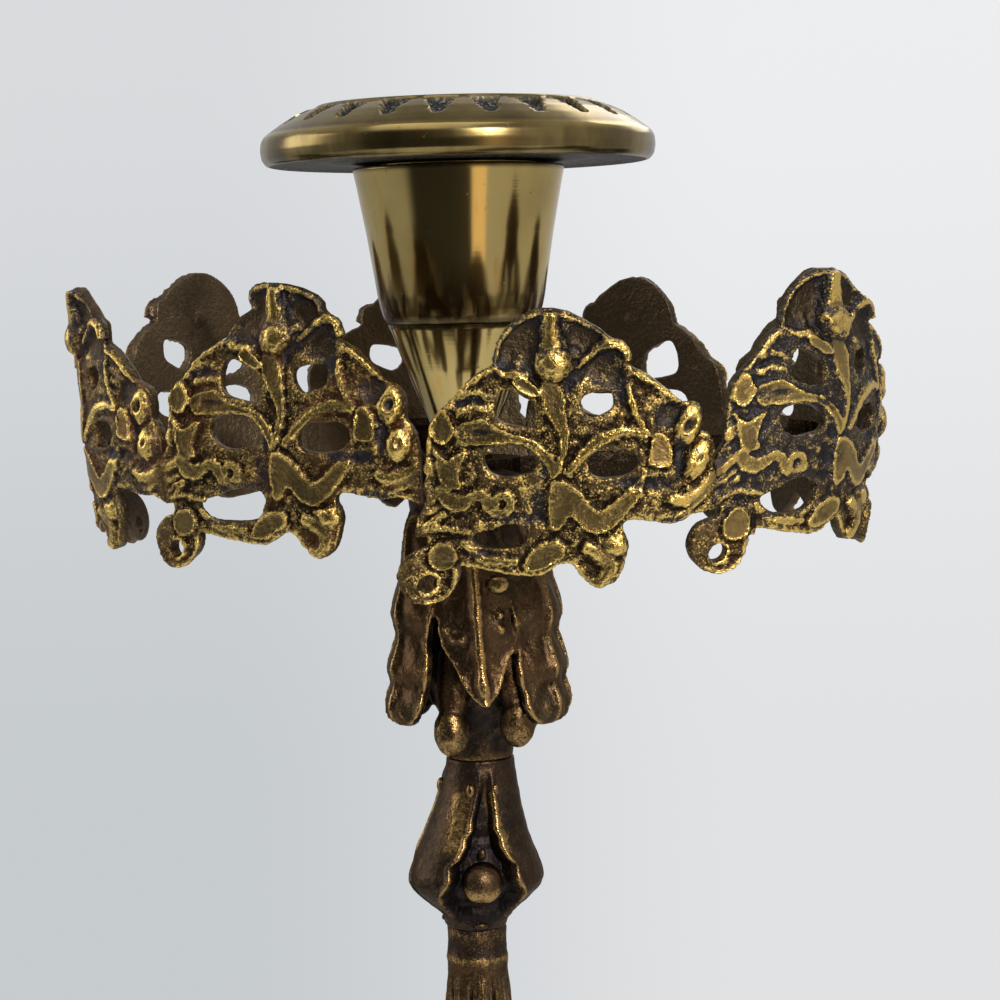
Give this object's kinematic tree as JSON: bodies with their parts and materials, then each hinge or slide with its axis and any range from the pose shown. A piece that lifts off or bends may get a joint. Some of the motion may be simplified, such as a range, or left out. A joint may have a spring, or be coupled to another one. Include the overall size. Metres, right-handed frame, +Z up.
{
  "type": "girandole",
  "caption": "Brass candlestick on a stepped marble base, with a lift-out nozzle over a tapered cup and a pierced cast gallery ring with eyes for hanging drops.",
  "frame": {"origin": "centre of the marble base's underside, on the stem's axis", "axes": "+Z up along the stem, +X to the right as seen from the front, -Y towards the front"},
  "size_m": [0.1154, 0.0976, 0.345],
  "materials": {
    "marble": "polished, softly veined",
    "iron": "dull, lightly rusted",
    "cast_brass": "sand cast, gilt worn to gold on the high parts, dark brown in the recesses",
    "turned_brass": "turned and polished, olive gold with dark tarnish"
  },
  "bodies": {
    "stand": {"marble_plinth": "marble", "marble_step": "marble", "clamp_washer": "iron", "clamp_nut": "iron", "tie_rod": "iron", "foot_mount": "cast_brass", "lower_vase": "cast_brass", "stem_knop": "cast_brass", "upper_shaft": "cast_brass", "baluster": "cast_brass", "leaf_calyx": "cast_brass", "gallery_spider": "cast_brass", "gallery_panel_1": "cast_brass", "gallery_panel_2": "cast_brass", "gallery_panel_3": "cast_brass", "gallery_panel_4": "cast_brass", "gallery_panel_5": "cast_brass", "gallery_panel_6": "cast_brass", "gallery_panel_7": "cast_brass", "gallery_panel_8": "cast_brass", "cup_cone": "turned_brass", "candle_cup": "turned_brass", "cup_screw": "turned_brass"},
    "nozzle": {"nozzle_pan": "turned_brass", "nozzle_tube": "turned_brass"}
  },
  "joints": [
    {"name": "nozzle_lift", "type": "slide", "parent": "stand", "child": "nozzle", "axis": [0, 0, 1], "range_m": [0, 0.03]}
  ]
}
